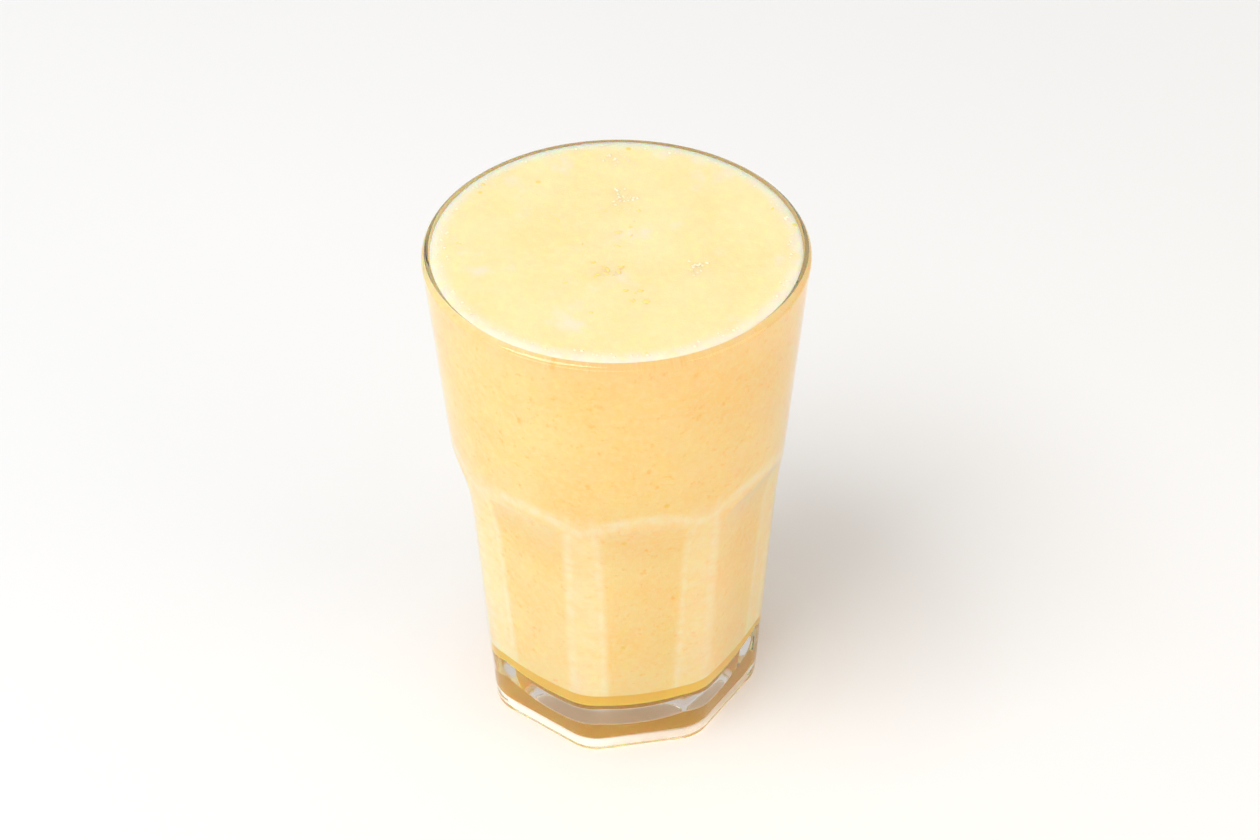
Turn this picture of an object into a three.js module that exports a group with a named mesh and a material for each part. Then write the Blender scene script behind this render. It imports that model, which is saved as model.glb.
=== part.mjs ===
// A faceted glass tumbler filled to the brim with pineapple smoothie.
// Units are millimetres, +Z is up, and the origin is on the table under the middle of the glass.
import * as THREE from "three";

// Tumbler, outside
const HEIGHT = 125;
const RIM_RADIUS = 41.5;
const LIP_RADIUS = 1.35;
const WALL_TAPER = 0.0645; // the round upper wall narrows by this much for each millimetre down
const FACETS = 8;
const FACET_APOTHEM = 32.2; // from the axis to a flat at table level
const FACET_TAPER = 0.0425;
const RIDGE_ROUND = 9.2; // radius of the upright ridges between the flats
const ARCH_TOP = 77.6; // height where the middle of a flat meets the round wall in an edge
const ARCH_RISE = 4.8; // how much lower that edge is at a ridge
const ARCH_FADE = 105; // height where the rows of points are level again above the arches
const RUN_OUT = 15; // height over which a flat bends outwards below the edge

// Tumbler, foot
const HEEL_RADIUS = 1.6;
const RECESS_RADIUS = 17.8; // the ceiling of the recess under the middle, level to here
const RECESS_HEIGHT = 6.8;
const RECESS_DOME = 0.3; // the ceiling rises by this much from its edge to its middle
const LEDGE_INNER_RADIUS = 22.2; // the ledge between the recess and the ring slopes from here
const LEDGE_INNER_HEIGHT = 3.6;
const LEDGE_OUTER_RADIUS = 28.2;
const LEDGE_OUTER_HEIGHT = 2.6;
const FOOT_RING_RADIUS = 28.6; // inner edge of the flat ring that the glass stands on
const FOOT_ROUND_WITHIN = 22.2; // the underside is round out to here
const FOOT_FLATS_BEYOND = 27.8; // and follows the flats from here outwards

// Tumbler, inside
const FLOOR_HEIGHT = 11.8;
const FLOOR_DISH = 0.4; // the floor rises by this much from its middle to its edge
const FLOOR_RADIUS = 25.2;
const FLOOR_EDGE_HEIGHT = 17.6; // top of the slope between the floor and the wall
const BORE_FOOT_RADIUS = 28.4; // inside radius of the wall's line at the floor's height
const BORE_LOW_TAPER = 0.072;
const BORE_SHOULDER_LOW = 58;
const BORE_SHOULDER_HIGH = 88;
const BORE_RIM_RADIUS = RIM_RADIUS - 2 * LIP_RADIUS;
const BORE_HIGH_TAPER = 0.077;

// Smoothie
const FILL_HEIGHT = 124.8; // height of the surface in the middle
const LIP_CLIMB = Math.PI / 5; // angle around the lip's round up to which the drink touches it
const EDGE_WIDTH = 1.4; // width of the round edge by which the froth stands above the lip's inside
const GLASS_GAP = 0.3;
const SWELL = 0.2; // height of the low waves left on the surface by pouring

const SEGMENTS_PER_FACET = 8;
const SEGMENTS = FACETS * SEGMENTS_PER_FACET;
const FACET_ANGLE = (2 * Math.PI) / FACETS;

const smoothStep = (low, high, z) => THREE.MathUtils.smoothstep(z, low, high);

// Angle from the middle of the nearest flat; one flat faces -Y.
function angleOnFacet(angle) {
  const turned = angle + Math.PI / 2 + FACET_ANGLE / 2;
  return turned - Math.floor(turned / FACET_ANGLE) * FACET_ANGLE - FACET_ANGLE / 2;
}

// Radius of the round upper wall.
function roundWall(z) {
  return RIM_RADIUS - WALL_TAPER * (HEIGHT - z);
}

// Radius of an octagon with round corners, at an angle from the middle of a flat.
function roundedOctagon(apothem, angle) {
  const half = FACET_ANGLE / 2;
  const off = Math.abs(angle);
  const flatEnd = Math.atan(((apothem - RIDGE_ROUND) * Math.tan(half)) / apothem);
  if (off <= flatEnd) return apothem / Math.cos(off);
  const centre = (apothem - RIDGE_ROUND) / Math.cos(half);
  const across = centre * Math.sin(half - off);
  return centre * Math.cos(half - off) + Math.sqrt(RIDGE_ROUND ** 2 - across ** 2);
}

// How much lower the arch is at an angle from the middle of a flat.
function archDrop(off) {
  return ARCH_RISE * (off / (FACET_ANGLE / 2)) ** 2;
}

// Height of a wall row, bent so that one row of points runs along the edge of the arches.
function bentRow(off, z) {
  const below = smoothStep(HEEL_RADIUS, ARCH_TOP - RUN_OUT, z);
  const above = 1 - smoothStep(ARCH_TOP, ARCH_FADE, z);
  return z - archDrop(off) * below * above;
}

// Outside radius of the tumbler: flats that bend outwards below the arches, round above them.
function outerWall(off, z) {
  const octagon = roundedOctagon(FACET_APOTHEM + FACET_TAPER * z, off);
  const arch = ARCH_TOP - archDrop(off);
  const bend = THREE.MathUtils.clamp((z - arch) / RUN_OUT + 1, 0, 1) ** 2;
  return THREE.MathUtils.lerp(octagon, roundWall(z), bend);
}

// Inside radius of the tumbler, round at every height.
function bore(z) {
  const low = BORE_FOOT_RADIUS + BORE_LOW_TAPER * (z - FLOOR_HEIGHT);
  const high = BORE_RIM_RADIUS - BORE_HIGH_TAPER * (HEIGHT - z);
  return THREE.MathUtils.lerp(low, high, smoothStep(BORE_SHOULDER_LOW, BORE_SHOULDER_HIGH, z));
}

// Evenly spaced numbers from the first to the last, with both ends.
function steps(from, to, count) {
  return Array.from({ length: count + 1 }, (_, i) => THREE.MathUtils.lerp(from, to, i / count));
}

// Points along an arc, angles in radians from the +radius direction.
function arc(radius, z, size, from, to, count) {
  return steps(from, to, count).map(
    (a) => new THREE.Vector2(radius + size * Math.cos(a), z + size * Math.sin(a)),
  );
}

// Floor of the bore from the axis to where it meets the wall, moved inwards by a gap.
function boreFloor(gap) {
  const dish = steps(0, FLOOR_RADIUS - gap, 3).map(
    (r) => new THREE.Vector2(r, FLOOR_HEIGHT + (FLOOR_DISH * r) / FLOOR_RADIUS + gap),
  );
  return [...dish, new THREE.Vector2(bore(FLOOR_EDGE_HEIGHT) - gap, FLOOR_EDGE_HEIGHT + gap / 2)];
}

// Heights up the bore wall, closer together at the shoulder.
function boreHeights(top) {
  return [
    ...steps(FLOOR_EDGE_HEIGHT, BORE_SHOULDER_LOW, 2).slice(1, -1),
    ...steps(BORE_SHOULDER_LOW, BORE_SHOULDER_HIGH, 8),
    ...steps(BORE_SHOULDER_HIGH, top, 3).slice(1),
  ];
}

// Turns a profile about +Z, with the angles drawn towards the ridges, then moves each point by a rule.
function turned(profile, place) {
  const geometry = new THREE.LatheGeometry(profile, SEGMENTS).rotateX(Math.PI / 2);
  const position = geometry.getAttribute("position");
  for (let i = 0; i < position.count; i++) {
    const row = i % profile.length;
    const column = Math.floor(i / profile.length) % SEGMENTS;
    const share = (column % SEGMENTS_PER_FACET) / SEGMENTS_PER_FACET;
    const facet = Math.floor(column / SEGMENTS_PER_FACET);
    const drawn = (Math.sin((share - 0.5) * Math.PI) * FACET_ANGLE) / 2;
    const angle = drawn + facet * FACET_ANGLE - Math.PI / 2;
    const { x: radius, y: height } = place(profile[row], angle, row);
    position.setXYZ(i, radius * Math.cos(angle), radius * Math.sin(angle), height);
  }
  geometry.deleteAttribute("normal");
  geometry.deleteAttribute("uv");
  return geometry;
}

function tumblerGeometry() {
  const foot = [
    new THREE.Vector2(0, RECESS_HEIGHT + RECESS_DOME),
    new THREE.Vector2(RECESS_RADIUS / 2, RECESS_HEIGHT + RECESS_DOME / 2),
    new THREE.Vector2(RECESS_RADIUS, RECESS_HEIGHT),
    new THREE.Vector2(LEDGE_INNER_RADIUS, LEDGE_INNER_HEIGHT),
    new THREE.Vector2(LEDGE_OUTER_RADIUS, LEDGE_OUTER_HEIGHT),
    new THREE.Vector2(FOOT_RING_RADIUS, 0),
  ];
  const heel = steps(-Math.PI / 2, 0, 4).map((a) => HEEL_RADIUS * (1 + Math.sin(a)));
  const wallHeights = [
    ...heel,
    ...steps(HEEL_RADIUS, ARCH_TOP - RUN_OUT, 4).slice(1),
    ...steps(ARCH_TOP - RUN_OUT, ARCH_TOP, 7).slice(1),
    ...steps(ARCH_TOP, ARCH_FADE, 4).slice(1),
    ...steps(ARCH_FADE, HEIGHT - LIP_RADIUS, 2).slice(1),
  ];
  const wall = wallHeights.map((z) => new THREE.Vector2(roundWall(z), z));
  const lipTop = HEIGHT - LIP_RADIUS;
  const lip = arc(RIM_RADIUS - LIP_RADIUS, lipTop, LIP_RADIUS, 0, Math.PI, 6).slice(1, -1);
  const inside = [
    ...boreFloor(0),
    ...boreHeights(lipTop).map((z) => new THREE.Vector2(bore(z), z)),
  ].reverse();
  const profile = [...foot, ...wall, ...lip, ...inside];

  // The wall and the underside follow the flats; the heel is inset from the wall by its round.
  return turned(profile, (point, angle, row) => {
    const off = angleOnFacet(angle);
    if (row < foot.length) {
      const flats = smoothStep(FOOT_ROUND_WITHIN, FOOT_FLATS_BEYOND, point.x);
      const octagon = roundedOctagon(FACET_APOTHEM, off) / FACET_APOTHEM;
      return { x: point.x * THREE.MathUtils.lerp(1, octagon, flats), y: point.y };
    }
    if (row >= foot.length + wall.length) return point;
    const below = Math.max(0, HEEL_RADIUS - point.y);
    const inset = HEEL_RADIUS - Math.sqrt(HEEL_RADIUS ** 2 - below ** 2);
    const z = bentRow(off, point.y);
    return { x: outerWall(off, z) - inset, y: z };
  });
}

// Low waves on the drink: three crossing ripples that fade out at the glass.
function swellAt(radius, angle, edge) {
  const x = radius * Math.cos(angle);
  const y = radius * Math.sin(angle);
  const waves = Math.sin(0.19 * x + 0.7) + Math.sin(0.16 * y - 1.1) + Math.sin(0.11 * (x - y) + 2.3);
  return (SWELL / 3) * waves * (1 - (radius / edge) ** 2);
}

function smoothieGeometry() {
  const lipTop = HEIGHT - LIP_RADIUS;
  const lipSize = LIP_RADIUS + GLASS_GAP;
  const touch = arc(RIM_RADIUS - LIP_RADIUS, lipTop, lipSize, Math.PI, Math.PI - LIP_CLIMB, 2).slice(1);
  const { x: edge, y: edgeHeight } = touch[touch.length - 1];
  const side = [
    ...boreFloor(GLASS_GAP),
    ...boreHeights(lipTop).map((z) => new THREE.Vector2(bore(z) - GLASS_GAP, z)),
    ...touch,
  ];
  const roundEdge = steps(0, Math.PI / 2, 4)
    .slice(1)
    .map((a) => {
      const inwards = EDGE_WIDTH * (1 - Math.cos(a));
      return new THREE.Vector2(edge - inwards, edgeHeight + (FILL_HEIGHT - edgeHeight) * Math.sin(a));
    });
  const surface = steps(edge - EDGE_WIDTH, 0, 5)
    .slice(1)
    .map((r) => new THREE.Vector2(r, FILL_HEIGHT));
  const profile = [...side, ...roundEdge, ...surface];
  return turned(profile, (point, angle, row) => {
    const onSurface = row >= side.length;
    const swell = onSurface ? swellAt(point.x, angle, edge) : 0;
    return { x: point.x, y: point.y + swell };
  });
}

const tumbler = new THREE.Mesh(
  tumblerGeometry(),
  new THREE.MeshStandardMaterial({
    color: 0xf2f5f2,
    roughness: 0.02,
    metalness: 0,
    transparent: true,
    opacity: 0.35,
  }),
);
tumbler.name = "tumbler";

const smoothie = new THREE.Mesh(
  smoothieGeometry(),
  new THREE.MeshStandardMaterial({ color: 0xfbe08a, roughness: 0.45, metalness: 0 }),
);
smoothie.name = "smoothie";

const drink = new THREE.Group();
drink.add(tumbler, smoothie);

export default drink;
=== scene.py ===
import math
import random

import bpy
from mathutils import Matrix, Vector
from mathutils.bvhtree import BVHTree


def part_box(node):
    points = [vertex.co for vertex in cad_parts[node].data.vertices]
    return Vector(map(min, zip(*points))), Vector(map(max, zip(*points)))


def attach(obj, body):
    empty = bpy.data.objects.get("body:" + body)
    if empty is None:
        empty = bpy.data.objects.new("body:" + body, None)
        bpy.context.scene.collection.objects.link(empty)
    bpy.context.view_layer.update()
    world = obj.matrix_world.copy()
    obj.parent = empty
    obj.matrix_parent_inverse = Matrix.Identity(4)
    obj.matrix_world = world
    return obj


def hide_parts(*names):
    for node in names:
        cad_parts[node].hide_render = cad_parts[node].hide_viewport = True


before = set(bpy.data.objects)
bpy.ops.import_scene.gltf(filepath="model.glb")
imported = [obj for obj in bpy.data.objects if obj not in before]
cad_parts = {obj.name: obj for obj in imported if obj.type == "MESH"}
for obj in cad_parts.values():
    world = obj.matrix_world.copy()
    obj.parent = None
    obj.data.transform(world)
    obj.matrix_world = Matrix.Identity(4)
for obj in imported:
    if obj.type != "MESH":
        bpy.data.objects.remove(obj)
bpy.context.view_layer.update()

# Tumbler
# One piece of clear glass, pressed in a mould: round and flared above the shoulder, with eight upright
# flats below it that end in low arches. The plunger leaves a round bore, and the rim is fire polished.
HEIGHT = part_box("tumbler")[1][2]
LIP_RADIUS = 0.00135
RIM_RADIUS = 0.0415
BORE_RIM_RADIUS = RIM_RADIUS - 2 * LIP_RADIUS
HEEL_RADIUS = 0.0016
FOOT = (
    (0, 0.0071),  # radius and height of the recess in the middle of the underside
    (0.0178, 0.0068),
    (0.0222, 0.0036),  # the ledge between the recess and the ring
    (0.0282, 0.0026),
    (0.0286, 0),  # the flat ring that the glass stands on
    (0.0303, 0),
)
FOOT_ROUND = 0.0005
FOOT_ROUND_WITHIN = FOOT[2][0]
FOOT_FLATS_BEYOND = 0.0278
FLOOR_HEIGHT = 0.0118
FLOOR_DISH = 0.0004
FLOOR_RADIUS = 0.0252
FLOOR_EDGE_HEIGHT = 0.0176
FLOOR_ROUND = 0.0004
BORE_FOOT_RADIUS = 0.0284
BORE_LOW_TAPER = 0.072
BORE_SHOULDER = (0.058, 0.088)
BORE_HIGH_TAPER = 0.077
PROFILE_STEP = 0.0012
TUMBLER_COLUMNS = 304
PRESSED = {
    "Rim radius": RIM_RADIUS,
    "Rim height": HEIGHT,
    "Wall taper": 0.0645,
    "Flats": 8,
    "Flat apothem": 0.0322,
    "Flat taper": 0.0425,
    "Ridge round": 0.0092,
    "Run-out": 0.015,
    "Arch top": 0.0776,
    "Arch rise": 0.0048,
    "Arch fade": 0.105,
    "Heel radius": HEEL_RADIUS,
}


class Reading:
    """A number in a node tree. Arithmetic on it adds Math nodes, so that a rule reads as a formula."""

    def __init__(self, tree, socket):
        self.tree = tree
        self.socket = socket

    def by(self, operation, *others):
        node = self.tree.nodes.new("ShaderNodeMath")
        node.operation = operation
        for entry, value in zip(node.inputs, (self, *others)):
            put(self.tree, entry, value)
        return Reading(self.tree, node.outputs[0])

    def ramp(self, low, high, smooth=False):
        node = self.tree.nodes.new("ShaderNodeMapRange")
        node.interpolation_type = "SMOOTHSTEP" if smooth else "LINEAR"
        for name, value in (("Value", self), ("From Min", low), ("From Max", high)):
            put(self.tree, node.inputs[name], value)
        return Reading(self.tree, node.outputs[0])

    def __add__(self, other):
        return self.by("ADD", other)

    def __sub__(self, other):
        return self.by("SUBTRACT", other)

    def __rsub__(self, other):
        return self.by("MULTIPLY", -1).by("ADD", other)

    def __mul__(self, other):
        return self.by("MULTIPLY", other)

    def __truediv__(self, other):
        return self.by("DIVIDE", other)

    def __rtruediv__(self, other):
        return self.by("POWER", -1).by("MULTIPLY", other)

    def __pow__(self, other):
        return self.by("POWER", other)

    __radd__ = __add__
    __rmul__ = __mul__


def put(tree, entry, value):
    """Link a reading or a socket into an entry, or set the entry to a plain value."""
    if isinstance(value, Reading):
        value = value.socket
    if isinstance(value, bpy.types.NodeSocket):
        tree.links.new(value, entry)
    else:
        entry.default_value = value


def node_in(tree, kind, entries=(), **settings):
    """Add a node with its settings and the named entries filled in."""
    node = tree.nodes.new(kind)
    for name, value in settings.items():
        setattr(node, name, value)
    for name, value in dict(entries).items():
        put(tree, node.inputs[name], value)
    return node


def geometry_tree(name, numbers):
    """A geometry tree with a named input for each size, whole numbers as whole inputs, and a material."""
    tree = bpy.data.node_groups.new(name, "GeometryNodeTree")
    tree.interface.new_socket("Geometry", in_out="INPUT", socket_type="NodeSocketGeometry")
    for label, value in numbers.items():
        kind = "NodeSocketInt" if isinstance(value, int) else "NodeSocketFloat"
        tree.interface.new_socket(label, in_out="INPUT", socket_type=kind)
    tree.interface.new_socket("Material", in_out="INPUT", socket_type="NodeSocketMaterial")
    tree.interface.new_socket("Geometry", in_out="OUTPUT", socket_type="NodeSocketGeometry")
    entry = tree.nodes.new("NodeGroupInput")
    return tree, entry, {label: Reading(tree, entry.outputs[label]) for label in numbers}


def end_tree(tree, entry, geometry):
    """Close a geometry tree: real meshes, smooth shading, its material."""
    real = node_in(tree, "GeometryNodeRealizeInstances", {"Geometry": geometry})
    smooth = node_in(tree, "GeometryNodeSetShadeSmooth", {"Geometry": real.outputs[0]})
    finish = {"Geometry": smooth.outputs[0], "Material": entry.outputs["Material"]}
    coated = node_in(tree, "GeometryNodeSetMaterial", finish)
    leave = tree.nodes.new("NodeGroupOutput")
    tree.links.new(coated.outputs[0], leave.inputs[0])


def grow(piece, tree, numbers, material):
    """Run a tree on a piece with these sizes, and keep the result as the piece's plain mesh."""
    modifier = piece.modifiers.new(tree.name, "NODES")
    modifier.node_group = tree
    for socket in tree.interface.items_tree:
        if socket.in_out == "INPUT" and socket.name in numbers:
            modifier[socket.identifier] = numbers[socket.name]
        if socket.in_out == "INPUT" and socket.name == "Material":
            modifier[socket.identifier] = material
    seen = piece.evaluated_get(bpy.context.evaluated_depsgraph_get())
    mesh = bpy.data.meshes.new_from_object(seen)
    mesh.name = piece.name
    piece.modifiers.remove(modifier)
    piece.data = mesh


def piece_from(name, points, edges=(), faces=()):
    """A new object at the origin from points, edges and faces."""
    mesh = bpy.data.meshes.new(name)
    mesh.from_pydata(points, list(edges), list(faces))
    piece = bpy.data.objects.new(name, mesh)
    bpy.context.scene.collection.objects.link(piece)
    return piece


def steps(start, end, count):
    """Evenly spaced numbers from start to end, with both ends."""
    return [start + (end - start) * i / count for i in range(count + 1)]


def arc(radius, height, size, start, end, count):
    """Profile points along an arc, angles from the outward direction."""
    return [
        (radius + size * math.cos(a), height + size * math.sin(a)) for a in steps(start, end, count)
    ]


def smooth_step(low, high, value):
    """From 0 to 1 between two values, level at both."""
    share = min(max((value - low) / (high - low), 0), 1)
    return share * share * (3 - 2 * share)


def rounded_line(corners, cut):
    """Profile points along straight lines, with each corner between them rounded over a short cut."""
    ends = [Vector(corner) for corner in corners]
    points = [ends[0]]
    for before, corner, after in zip(ends, ends[1:], ends[2:]):
        first = corner + (before - corner).normalized() * cut
        last = corner + (after - corner).normalized() * cut
        points += [first.lerp(corner, t).lerp(corner.lerp(last, t), t) for t in steps(0, 1, 4)]
    points.append(ends[-1])
    line = [points[0]]
    for start, end in zip(points, points[1:]):
        count = math.ceil((end - start).length / PROFILE_STEP)
        line += [start.lerp(end, t) for t in steps(0, 1, count)[1:]]
    return [tuple(point) for point in line]


def bore(height):
    """Inside radius of the tumbler."""
    low = BORE_FOOT_RADIUS + BORE_LOW_TAPER * (height - FLOOR_HEIGHT)
    high = BORE_RIM_RADIUS - BORE_HIGH_TAPER * (HEIGHT - height)
    share = smooth_step(*BORE_SHOULDER, height)
    return low + (high - low) * share


def bore_profile(top, out, rows):
    """The bore from the middle of its floor to a height, moved outwards into the glass by a little."""
    wall = [(bore(z) + out, z) for z in steps(FLOOR_EDGE_HEIGHT, top, rows)]
    middle = (0, FLOOR_HEIGHT - out)
    floor_edge = (FLOOR_RADIUS + out, FLOOR_HEIGHT + FLOOR_DISH - out)
    return rounded_line([middle, floor_edge, *wall[:2]], FLOOR_ROUND) + wall[2:]


def turned_tree():
    """Turn a profile about +Z, then press the flats into the rows that are marked as pressed."""
    tree, entry, size = geometry_tree("turned_and_pressed", {**PRESSED, "Columns": TUMBLER_COLUMNS})
    profile = entry.outputs["Geometry"]
    count = node_in(tree, "GeometryNodeAttributeDomainSize", {"Geometry": profile}).outputs["Point Count"]
    rows = Reading(tree, count)
    grid = node_in(tree, "GeometryNodeMeshGrid", {"Vertices X": size["Columns"] + 1, "Vertices Y": rows})
    index = Reading(tree, tree.nodes.new("GeometryNodeInputIndex").outputs[0])
    row = index.by("MODULO", rows)
    angle = (index / rows).by("FLOOR") * math.tau / size["Columns"]

    place = node_in(tree, "GeometryNodeSampleIndex", data_type="FLOAT_VECTOR")
    put(tree, place.inputs["Geometry"], profile)
    put(tree, place.inputs["Value"], tree.nodes.new("GeometryNodeInputPosition").outputs[0])
    put(tree, place.inputs["Index"], row)
    spot = node_in(tree, "ShaderNodeSeparateXYZ", {"Vector": place.outputs[0]})
    radius = Reading(tree, spot.outputs["X"])
    height = Reading(tree, spot.outputs["Z"])
    mark = node_in(tree, "GeometryNodeInputNamedAttribute", {"Name": "pressed"}, data_type="FLOAT")
    marked = node_in(tree, "GeometryNodeSampleIndex", data_type="FLOAT")
    put(tree, marked.inputs["Geometry"], profile)
    put(tree, marked.inputs["Value"], mark.outputs[0])
    put(tree, marked.inputs["Index"], row)
    pressed = Reading(tree, marked.outputs[0])
    foot = pressed.by("LESS_THAN", 0) * pressed * -1
    pressed = pressed.by("MAXIMUM", 0)

    half = math.pi / size["Flats"]
    off = (angle + math.pi / 2).by("WRAP", half, half * -1).by("ABSOLUTE")
    drop = size["Arch rise"] * (off / half) ** 2
    low = height.ramp(size["Heel radius"], size["Arch top"] - size["Run-out"], smooth=True)
    high = 1 - height.ramp(size["Arch top"], size["Arch fade"], smooth=True)
    height = height - drop * low * high * pressed

    apothem = size["Flat apothem"] + size["Flat taper"] * height
    inner = apothem - size["Ridge round"]
    flat_end = (inner * half.by("TANGENT") / apothem).by("ARCTANGENT")
    centre = inner / half.by("COSINE")
    across = centre * (half - off).by("SINE")
    reach = (size["Ridge round"] ** 2 - across ** 2).by("MAXIMUM", 0).by("SQRT")
    ridge = centre * (half - off).by("COSINE") + reach
    on_ridge = off.by("GREATER_THAN", flat_end)
    flat = apothem / off.by("COSINE")
    octagon = flat + on_ridge * (ridge - flat)

    upper = size["Rim radius"] - size["Wall taper"] * (size["Rim height"] - height)
    arch = size["Arch top"] - drop
    bend = height.ramp(arch - size["Run-out"], arch) ** 2
    below = (size["Heel radius"] - height).by("MAXIMUM", 0)
    inset = size["Heel radius"] - (size["Heel radius"] ** 2 - below ** 2).by("MAXIMUM", 0).by("SQRT")
    wall = octagon + bend * (upper - octagon) - inset
    radius = radius * (1 + foot * (octagon / apothem - 1)) + pressed * (wall - radius)

    spun = {"X": radius * angle.by("COSINE"), "Y": radius * angle.by("SINE"), "Z": height}
    placed = node_in(tree, "ShaderNodeCombineXYZ", spun)
    moved = {"Geometry": grid.outputs["Mesh"], "Position": placed.outputs[0]}
    moved = node_in(tree, "GeometryNodeSetPosition", moved)
    shut = {"Geometry": moved.outputs[0], "Distance": 1e-6}
    shut = node_in(tree, "GeometryNodeMergeByDistance", shut)
    end_tree(tree, entry, shut.outputs[0])
    return tree


def turned_piece(name, profile, pressed, columns, material):
    """A piece turned from its profile, with its first rows marked for the flats and the others round.

    A mark of 1 puts a row on the pressed wall, and one down to -1 lets a row of the foot follow the flats.
    """
    links = [(i, i + 1) for i in range(len(profile) - 1)]
    piece = piece_from(name, [(r, 0, z) for r, z in profile], links)
    mark = piece.data.attributes.new("pressed", "FLOAT", "POINT")
    mark.data.foreach_set("value", pressed + [0.0] * (len(profile) - len(pressed)))
    grow(piece, TURNED, {**PRESSED, "Columns": columns}, material)
    return piece


def pressed_glass():
    """Clear glass with a mould's faint waves, which shades what lies behind it only a little."""
    material = bpy.data.materials.new("pressed_glass")
    material.use_nodes = True
    tree = material.node_tree
    glass = tree.nodes["Principled BSDF"]
    glass.inputs["Base Color"].default_value = (1, 1, 1, 1)
    glass.inputs["Roughness"].default_value = 0.0
    glass.inputs["IOR"].default_value = 1.51
    glass.inputs["Transmission Weight"].default_value = 1.0
    where = tree.nodes.new("ShaderNodeTexCoord").outputs["Object"]
    wave = node_in(tree, "ShaderNodeTexNoise", {"Vector": where, "Scale": 90, "Detail": 1.0})
    bump = {"Height": wave.outputs[0], "Strength": 0.06, "Distance": 0.001}
    put(tree, glass.inputs["Normal"], node_in(tree, "ShaderNodeBump", bump).outputs[0])
    height = Reading(tree, node_in(tree, "ShaderNodeSeparateXYZ", {"Vector": where}).outputs["Z"])
    shadow = Reading(tree, tree.nodes.new("ShaderNodeLightPath").outputs["Is Shadow Ray"])
    clear = tree.nodes.new("ShaderNodeBsdfTransparent")
    either = tree.nodes.new("ShaderNodeMixShader")
    above_base = height.ramp(0.012, 0.02)
    at_rim = height.ramp(HEIGHT - 0.003, HEIGHT - 0.001)
    put(tree, either.inputs[0], shadow * (0.97 - 0.12 * above_base - 0.3 * at_rim))
    tree.links.new(glass.outputs[0], either.inputs[1])
    tree.links.new(clear.outputs[0], either.inputs[2])
    tree.links.new(either.outputs[0], tree.nodes["Material Output"].inputs["Surface"])
    return material


TURNED = turned_tree()
foot = rounded_line(FOOT, FOOT_ROUND)
foot_marks = [-smooth_step(FOOT_ROUND_WITHIN, FOOT_FLATS_BEYOND, r) for r, z in foot]
heel = [(RIM_RADIUS, HEEL_RADIUS * (1 + math.sin(a))) for a in steps(-math.pi / 2, 0, 10)]
lip_height = HEIGHT - LIP_RADIUS
bend_start = PRESSED["Arch top"] - PRESSED["Run-out"]
outside_heights = (
    steps(HEEL_RADIUS, bend_start, 40)[1:]
    + steps(bend_start, PRESSED["Arch top"], 30)[1:]
    + steps(PRESSED["Arch top"], lip_height, 60)[1:]
)
outside = [(RIM_RADIUS, z) for z in outside_heights]
lip = arc(RIM_RADIUS - LIP_RADIUS, lip_height, LIP_RADIUS, 0, math.pi, 16)[1:]
inside = bore_profile(lip_height, 0, 80)[::-1]
tumbler = turned_piece(
    "tumbler_glass",
    foot + heel + outside + lip + inside[1:],
    foot_marks + [1.0] * (len(heel) + len(outside)),
    TUMBLER_COLUMNS,
    pressed_glass(),
)
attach(tumbler, "root")
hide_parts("tumbler")

# Smoothie
# Pineapple blended with its pulp: an opaque, thick, pale yellow drink that fills the bore and wets the
# wall. It was poured to the brim, so its froth touches the round of the lip and stands a little above it.
FILL_HEIGHT = 0.1251
LIP_CLIMB = math.radians(66)
EDGE_WIDTH = 0.0014
INTO_WALL = 0.00015
PALE_ARCH_TOP = PRESSED["Arch top"] + 0.0006
RIDGE_EDGE = 0.0026
SMOOTHIE_COLUMNS = 256
BODY_COLOURS = ((0.98, 0.68, 0.26, 1), (0.985, 0.73, 0.33, 1))
TOP_COLOURS = ((0.985, 0.73, 0.355, 1), (0.985, 0.77, 0.415, 1))
PULP_COLOUR = (0.98, 0.52, 0.09, 1)
# painted light: the paler drink behind the glass's ridges and arches
PAINTED_RIDGE_LIGHT = (0.99, 0.85, 0.63, 1)
GRAIN_COLOUR = (0.99, 0.82, 0.48, 1)
# painted shade: a deeper amber on the drink's underside, below the floor edge
PAINTED_UNDER_SHADE = (1.0, 0.56, 0.07, 1)
FROTH_COLOUR = (0.99, 0.795, 0.66, 1)
FLECK_COLOUR = (0.92, 0.64, 0.1, 1)
SURFACE = {
    "Fill height": FILL_HEIGHT,
    "Edge radius": RIM_RADIUS - LIP_RADIUS,
    "Calm from": 0.003,
    "Calm to": 0.0004,
    "Swell": 0.0004,
    "Swell scale": 34.0,
    "Lumps": 0.00028,
    "Lump scale": 210.0,
    "Seed": 4,
}


def surface_tree():
    """Low swells and small froth lumps on the drink's surface, still at the glass."""
    tree, entry, size = geometry_tree("drink_surface", SURFACE)
    where = tree.nodes.new("GeometryNodeInputPosition").outputs[0]
    spot = node_in(tree, "ShaderNodeSeparateXYZ", {"Vector": where})
    x, y, z = (Reading(tree, spot.outputs[axis]) for axis in "XYZ")
    from_axis = (x ** 2 + y ** 2).by("SQRT")
    on_top = z.ramp(size["Fill height"] - 0.0002, size["Fill height"] - 0.0001)
    calm_from = size["Edge radius"] - size["Calm from"]
    calm_to = size["Edge radius"] - size["Calm to"]
    inside_edge = 1 - from_axis.ramp(calm_from, calm_to, smooth=True)
    rise = 0
    for height, scale, detail in (("Swell", "Swell scale", 1.0), ("Lumps", "Lump scale", 3.0)):
        entries = {"Vector": where, "W": size["Seed"], "Scale": size[scale], "Detail": detail}
        wave = node_in(tree, "ShaderNodeTexNoise", entries, noise_dimensions="4D")
        rise = rise + (Reading(tree, wave.outputs[0]) - 0.5) * size[height]
    lift = node_in(tree, "ShaderNodeCombineXYZ", {"Z": rise * on_top * inside_edge})
    moved = {"Geometry": entry.outputs["Geometry"], "Offset": lift.outputs[0]}
    moved = node_in(tree, "GeometryNodeSetPosition", moved)
    end_tree(tree, entry, moved.outputs[0])
    return tree


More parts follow.
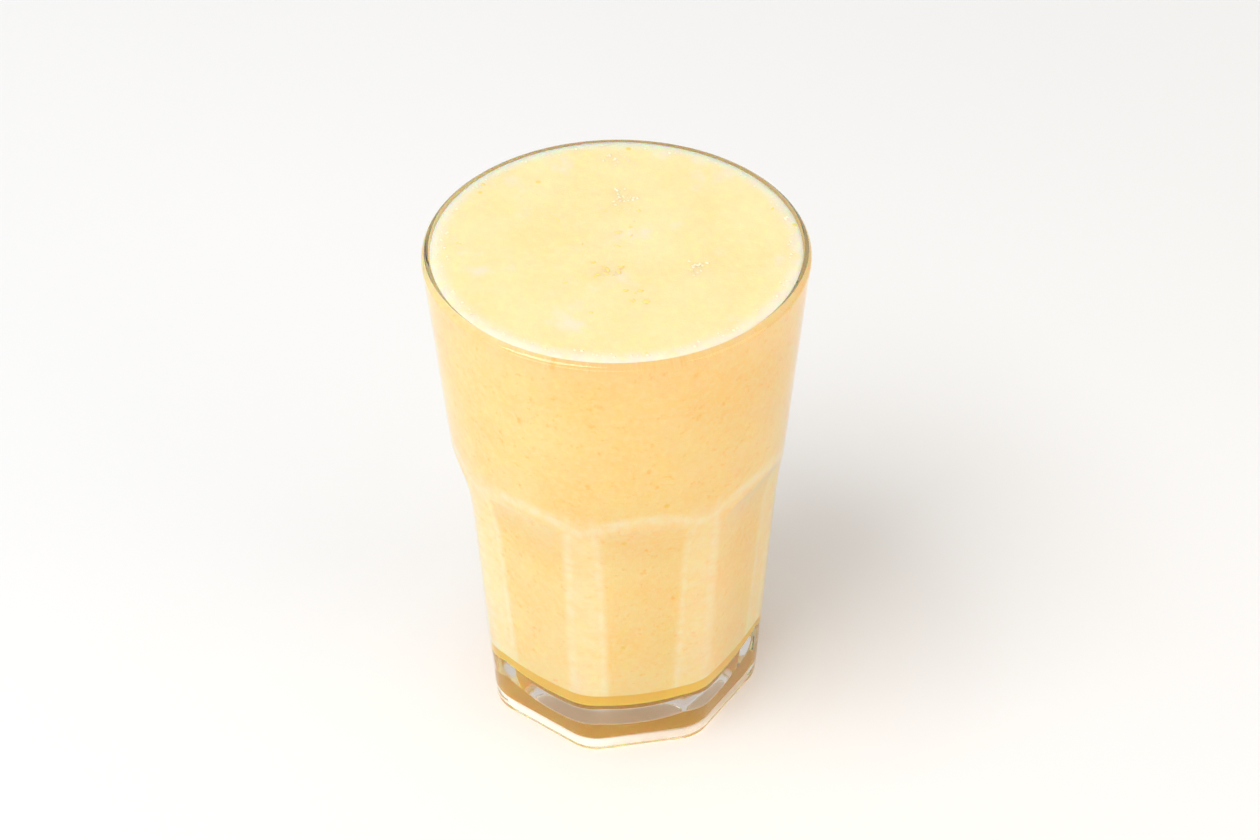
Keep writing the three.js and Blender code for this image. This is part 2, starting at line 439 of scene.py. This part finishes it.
def blended_fruit():
    """Fine pulp and froth in a cloudy yellow, paler at the lip, with painted light behind the glass's
    ridges and arches and painted amber shade underneath.
    """
    material = bpy.data.materials.new("blended_fruit")
    material.use_nodes = True
    tree = material.node_tree
    drink = tree.nodes["Principled BSDF"]
    where = tree.nodes.new("ShaderNodeTexCoord").outputs["Object"]

    def noise(scale, detail, rough=0.5):
        entries = {"Vector": where, "Scale": scale, "Detail": detail, "Roughness": rough}
        return Reading(tree, node_in(tree, "ShaderNodeTexNoise", entries).outputs[0])

    def tint(share, first, second):
        mix = node_in(tree, "ShaderNodeMix", data_type="RGBA")
        put(tree, mix.inputs["Factor"], share)
        for entry, colour in zip((mix.inputs[6], mix.inputs[7]), (first, second)):
            put(tree, entry, colour)
        return mix.outputs[2]

    cloud = noise(70, 2.0).ramp(0.35, 0.65)
    grain = noise(620, 3.0, 0.65).ramp(0.4, 0.68)
    pulp = noise(480, 4.0, 0.7).ramp(0.57, 0.72)
    colour = tint(cloud, *BODY_COLOURS)
    colour = tint(pulp * 0.7, colour, PULP_COLOUR)

    spot = node_in(tree, "ShaderNodeSeparateXYZ", {"Vector": where})
    x, y, z = (Reading(tree, spot.outputs[axis]) for axis in "XYZ")
    from_axis = (x ** 2 + y ** 2).by("SQRT")

    # Paler behind the ridges and arches: a painted stand-in for the light that the curved glass gathers.
    half = math.pi / PRESSED["Flats"]
    off = (y.by("ARCTAN2", x) + math.pi / 2).by("WRAP", half, -half).by("ABSOLUTE")
    from_ridge = (half - off) * from_axis
    over_arch = z - (PALE_ARCH_TOP - PRESSED["Arch rise"] * (off / half) ** 2)
    stripe = 0.8 - 0.8 * (from_ridge - RIDGE_EDGE).by("ABSOLUTE").ramp(0.0, 0.002, smooth=True)
    stripe = stripe.by("MAXIMUM", 0.5 - 0.5 * from_ridge.ramp(RIDGE_EDGE - 0.0005, RIDGE_EDGE + 0.001))
    stripe = stripe * (1 - over_arch.ramp(0.0, 0.007, smooth=True))
    band = 0.9 - 0.9 * over_arch.by("ABSOLUTE").ramp(0.0002, 0.003, smooth=True)
    painted_ridge_light = stripe.by("MAXIMUM", band) * (0.4 + 0.6 * noise(420, 3.0, 0.6).ramp(0.35, 0.65))
    colour = tint(painted_ridge_light, colour, PAINTED_RIDGE_LIGHT)

    on_top = z.ramp(lip_height - 0.0004, lip_height + 0.0003)
    colour = tint(on_top, colour, tint(cloud, *TOP_COLOURS))
    colour = tint(grain * 0.4, colour, GRAIN_COLOUR)
    # Painted shade: the drink's underside turns a deeper, darker amber.
    painted_under_shade = 1 - z.ramp(FLOOR_EDGE_HEIGHT - 0.0003, FLOOR_EDGE_HEIGHT)
    colour = tint(painted_under_shade, colour, PAINTED_UNDER_SHADE)
    edge = RIM_RADIUS - LIP_RADIUS
    ring = from_axis.ramp(edge - 0.0045, edge - 0.0012, smooth=True) * noise(320, 2.0).ramp(0.15, 0.5)
    patch = noise(85, 3.0, 0.6).ramp(0.56, 0.72, smooth=True) * 0.7
    froth = ring.by("MAXIMUM", patch) * on_top
    colour = tint(froth * 0.85, colour, FROTH_COLOUR)

    cells = node_in(tree, "ShaderNodeTexVoronoi", {"Vector": where, "Scale": 230, "Randomness": 1.0})
    pick = node_in(tree, "ShaderNodeSeparateColor", {"Color": cells.outputs["Color"]})
    chosen = Reading(tree, pick.outputs[0]).by("GREATER_THAN", 0.93)
    fleck = (1 - Reading(tree, cells.outputs["Distance"]).ramp(0.08, 0.2, smooth=True)) * chosen
    colour = tint(fleck * 0.75, colour, FLECK_COLOUR)

    put(tree, drink.inputs["Base Color"], colour)
    put(tree, drink.inputs["Roughness"], 0.34 + 0.2 * grain)
    drink.inputs["IOR"].default_value = 1.36
    drink.inputs["Subsurface Weight"].default_value = 1.0
    drink.inputs["Subsurface Radius"].default_value = (1.0, 0.4, 0.1)
    drink.inputs["Subsurface Scale"].default_value = 0.007
    put(tree, drink.inputs["Specular IOR Level"], on_top * 0.5)
    relief = noise(700, 3.0, 0.65) * 0.6 + noise(2200, 2.0) * 0.4
    bump = {"Height": relief, "Strength": 0.25, "Distance": 0.0004}
    put(tree, drink.inputs["Normal"], node_in(tree, "ShaderNodeBump", bump).outputs[0])
    return material


side = bore_profile(lip_height, INTO_WALL, 90)
lip_size = LIP_RADIUS - INTO_WALL
touch = arc(RIM_RADIUS - LIP_RADIUS, lip_height, lip_size, math.pi, math.pi - LIP_CLIMB, 5)[1:]
edge_radius, edge_height = touch[-1]
edge_rise = FILL_HEIGHT - edge_height
round_edge = [
    (edge_radius - EDGE_WIDTH * (1 - math.cos(a)), edge_height + edge_rise * math.sin(a))
    for a in steps(0, math.pi / 2, 10)[1:]
]
surface = [(r, FILL_HEIGHT) for r in steps(edge_radius - EDGE_WIDTH, 0, 100)[1:]]
fruit = blended_fruit()
whole_profile = side + touch + round_edge + surface
smoothie = turned_piece("smoothie_drink", whole_profile, [], SMOOTHIE_COLUMNS, fruit)
grow(smoothie, surface_tree(), SURFACE, fruit)
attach(smoothie, "root")
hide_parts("smoothie")

# Froth bubbles and pulp
# Small bubbles that came up in the blender gather in patches and along the glass, and shreds of fruit lie
# among them. Each is a small flattened ball, a little sunk into the surface.
FROTH_PATCHES = (
    (0.0041, 0.0165, 0.0016, 26),
    (0.0047, 0.0323, 0.0014, 14),
    (0.0154, -0.0104, 0.001, 20),
)
PULP_PATCHES = ((-0.0043, -0.0087, 0.0022, 10), (0.0019, -0.0185, 0.002, 7), (0, 0, 0.016, 18))
RING_BUBBLES = 140
RING_SPREAD = 0.0009
SUNK_SHARE = 0.3
BUBBLE_TONES = ((0.99, 0.83, 0.54, 1), (0.99, 0.9, 0.7, 1))
SHRED_TONES = ((0.985, 0.72, 0.16, 1), (0.985, 0.79, 0.34, 1))
BUBBLES = {"Smallest": 0.00015, "Largest": 0.0004, "Length": 1.0, "Thickness": 0.5, "Seed": 7}
SHREDS = {"Smallest": 0.0002, "Largest": 0.0005, "Length": 2.6, "Thickness": 0.3, "Seed": 11}


def scattered_tree():
    """A small flattened ball at each point, turned and sized at random."""
    tree, entry, size = geometry_tree("scattered_balls", BUBBLES)
    ball = node_in(tree, "GeometryNodeMeshUVSphere", {"Segments": 8, "Rings": 5, "Radius": 1.0})
    shape = node_in(tree, "ShaderNodeCombineXYZ", {"X": size["Length"], "Y": 1.0, "Z": size["Thickness"]})
    shaped = {"Geometry": ball.outputs["Mesh"], "Scale": shape.outputs[0]}
    shaped = node_in(tree, "GeometryNodeTransform", shaped)
    scale = node_in(tree, "FunctionNodeRandomValue", data_type="FLOAT")
    put(tree, scale.inputs[2], size["Smallest"])
    put(tree, scale.inputs[3], size["Largest"])
    put(tree, scale.inputs["Seed"], size["Seed"])
    turn = node_in(tree, "FunctionNodeRandomValue", data_type="FLOAT_VECTOR")
    turn.inputs[1].default_value = (0.3, 0.3, math.tau)
    put(tree, turn.inputs["Seed"], size["Seed"])
    spread = {
        "Points": entry.outputs["Geometry"],
        "Instance": shaped.outputs[0],
        "Rotation": turn.outputs[0],
        "Scale": scale.outputs[1],
    }
    spread = node_in(tree, "GeometryNodeInstanceOnPoints", spread)
    end_tree(tree, entry, spread.outputs[0])
    return tree


def wet_speck(name, first, second):
    """A soft wet speck whose colour wanders between two tones."""
    material = bpy.data.materials.new(name)
    material.use_nodes = True
    tree = material.node_tree
    speck = tree.nodes["Principled BSDF"]
    where = tree.nodes.new("ShaderNodeTexCoord").outputs["Object"]
    wander = node_in(tree, "ShaderNodeTexNoise", {"Vector": where, "Scale": 400, "Detail": 1.0})
    mix = node_in(tree, "ShaderNodeMix", {"Factor": wander.outputs[0]}, data_type="RGBA")
    mix.inputs[6].default_value = first
    mix.inputs[7].default_value = second
    put(tree, speck.inputs["Base Color"], mix.outputs[2])
    speck.inputs["Roughness"].default_value = 0.5
    speck.inputs["Specular IOR Level"].default_value = 0.15
    return material


def patches(spots, chance):
    """Points around the middles of patches, each with its spread and count."""
    return [
        (chance.gauss(x, spread), chance.gauss(y, spread))
        for x, y, spread, count in spots
        for i in range(count)
    ]


def scatter(name, spots, tree, sizes, material):
    """Balls at these spots, laid on the drink's surface."""
    drink = BVHTree.FromObject(smoothie, bpy.context.evaluated_depsgraph_get())
    down = Vector((0, 0, -1))
    inside = [(x, y) for x, y in spots if math.hypot(x, y) < edge_radius - EDGE_WIDTH]
    above = 2 * HEIGHT
    points = [drink.ray_cast(Vector((x, y, above)), down)[0] for x, y in inside]
    sunk = Vector((0, 0, SUNK_SHARE * sizes["Smallest"]))
    piece = piece_from(name, [point - sunk for point in points])
    grow(piece, tree, sizes, material)
    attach(piece, "root")


SCATTERED = scattered_tree()
chance = random.Random(5)
froth_spots = patches(FROTH_PATCHES, chance)
for bubble in range(RING_BUBBLES):
    bubble_angle = chance.uniform(0, math.tau)
    bubble_radius = edge_radius - EDGE_WIDTH - abs(chance.gauss(0, RING_SPREAD))
    froth_spots.append((bubble_radius * math.cos(bubble_angle), bubble_radius * math.sin(bubble_angle)))
pulp_spots = patches(PULP_PATCHES, chance)
scatter("froth_bubbles", froth_spots, SCATTERED, BUBBLES, wet_speck("froth", *BUBBLE_TONES))
scatter("pulp_shreds", pulp_spots, SCATTERED, SHREDS, wet_speck("pulp", *SHRED_TONES))

# Table and light
# A plain painted table in a pale room: soft daylight from a window at the front left, a large lamp above
# it, a weaker warm bounce from the right, and darker walls at both sides.
TABLE_RADIUS = 1.1
TABLE_HEIGHT = -0.0002
TABLE_SIDES = 96


def white_table():
    """White paint with faint clouds."""
    material = bpy.data.materials.new("white_table")
    material.use_nodes = True
    tree = material.node_tree
    paint = tree.nodes["Principled BSDF"]
    where = tree.nodes.new("ShaderNodeTexCoord").outputs["Object"]
    cloud = node_in(tree, "ShaderNodeTexNoise", {"Vector": where, "Scale": 6, "Detail": 2.0})
    shade = 0.88 + 0.02 * Reading(tree, cloud.outputs[0])
    tone = node_in(tree, "ShaderNodeCombineColor")
    for channel in tone.inputs:
        put(tree, channel, shade)
    put(tree, paint.inputs["Base Color"], tone.outputs[0])
    paint.inputs["Roughness"].default_value = 0.55
    paint.inputs["Specular IOR Level"].default_value = 0.2
    return material


around = steps(0, math.tau, TABLE_SIDES)[:-1]
table_edge = [(TABLE_RADIUS * math.cos(a), TABLE_RADIUS * math.sin(a), TABLE_HEIGHT) for a in around]
table = piece_from("table", table_edge, (), [tuple(range(TABLE_SIDES))])
table.data.materials.append(white_table())


def soft_light(name, azimuth, elevation, distance, size, power, colour):
    """A square soft light that faces the middle of the drink."""
    lamp = bpy.data.lights.new(name, "AREA")
    lamp.shape = "SQUARE"
    lamp.size = size
    lamp.energy = power
    lamp.color = colour
    light = bpy.data.objects.new(name, lamp)
    aim = Vector((0, 0, HEIGHT / 2))
    flat = math.cos(elevation)
    away = Vector((math.sin(azimuth) * flat, -math.cos(azimuth) * flat, math.sin(elevation)))
    light.location = aim + distance * away
    light.rotation_euler = away.to_track_quat("Z", "Y").to_euler()
    bpy.context.scene.collection.objects.link(light)


VIEW_AZIMUTH = math.radians(-9.3)
WINDOW_AZIMUTH = VIEW_AZIMUTH - math.radians(55)
BOUNCE_AZIMUTH = VIEW_AZIMUTH + math.radians(65)
soft_light("key", WINDOW_AZIMUTH, math.radians(60), 1.6, 0.9, 14.0, (0.97, 0.985, 1))
soft_light("bounce", BOUNCE_AZIMUTH, math.radians(22), 1.2, 0.9, 4.0, (1, 0.8, 0.55))

world = bpy.data.worlds.new("room")
bpy.context.scene.world = world
world.use_nodes = True
room = world.node_tree
toward = room.nodes.new("ShaderNodeTexCoord").outputs["Generated"]
parts = node_in(room, "ShaderNodeSeparateXYZ", {"Vector": toward})
toward_x, toward_y, toward_z = (Reading(room, parts.outputs[axis]) for axis in "XYZ")
sideways = toward_x * math.cos(VIEW_AZIMUTH) + toward_y * math.sin(VIEW_AZIMUTH)
low_down = 1 - toward_z.ramp(0.2, 0.5, smooth=True)
side_wall = sideways.by("ABSOLUTE").ramp(0.75, 0.95, smooth=True) * low_down
walls = node_in(room, "ShaderNodeMix", {"Factor": side_wall * 0.6}, data_type="RGBA")
walls.inputs[6].default_value = (1, 1, 1, 1)
walls.inputs[7].default_value = (0.06, 0.04, 0.02, 1)
put(room, room.nodes["Background"].inputs["Color"], walls.outputs[2])
window = toward_x * math.sin(WINDOW_AZIMUTH) - toward_y * math.cos(WINDOW_AZIMUTH)
window = window.ramp(0.1, 0.8, smooth=True) * (1 - toward_z.ramp(0.15, 0.5, smooth=True))
put(room, room.nodes["Background"].inputs["Strength"], 0.59 + 2.4 * window)

# Camera
# The photograph's viewpoint: from the front, looking down at the drink, with the glass a little to the
# left of the middle of the frame.
VIEW_ELEVATION = math.radians(40.7)
VIEW_ROLL = math.radians(-0.32)
VIEW_DISTANCE = 0.478
AIM_RIGHT = 0.00267
AIM_HEIGHT = 0.0759
look = Vector((
    -math.sin(VIEW_AZIMUTH) * math.cos(VIEW_ELEVATION),
    math.cos(VIEW_AZIMUTH) * math.cos(VIEW_ELEVATION),
    -math.sin(VIEW_ELEVATION),
))
level = Vector((math.cos(VIEW_AZIMUTH), math.sin(VIEW_AZIMUTH), 0))
upright = level.cross(look)
right = level * math.cos(VIEW_ROLL) + upright * math.sin(VIEW_ROLL)
top = upright * math.cos(VIEW_ROLL) - level * math.sin(VIEW_ROLL)
stand = level * AIM_RIGHT + Vector((0, 0, AIM_HEIGHT)) - look * VIEW_DISTANCE
lens = bpy.data.cameras.new("camera")
lens.lens = 60
lens.sensor_width = 36
lens.clip_start = 0.01
camera = bpy.data.objects.new("camera", lens)
camera.matrix_world = Matrix.Translation(stand) @ Matrix((right, top, -look)).transposed().to_4x4()
bpy.context.scene.collection.objects.link(camera)
bpy.context.scene.camera = camera
bpy.context.scene.view_settings.view_transform = "Standard"
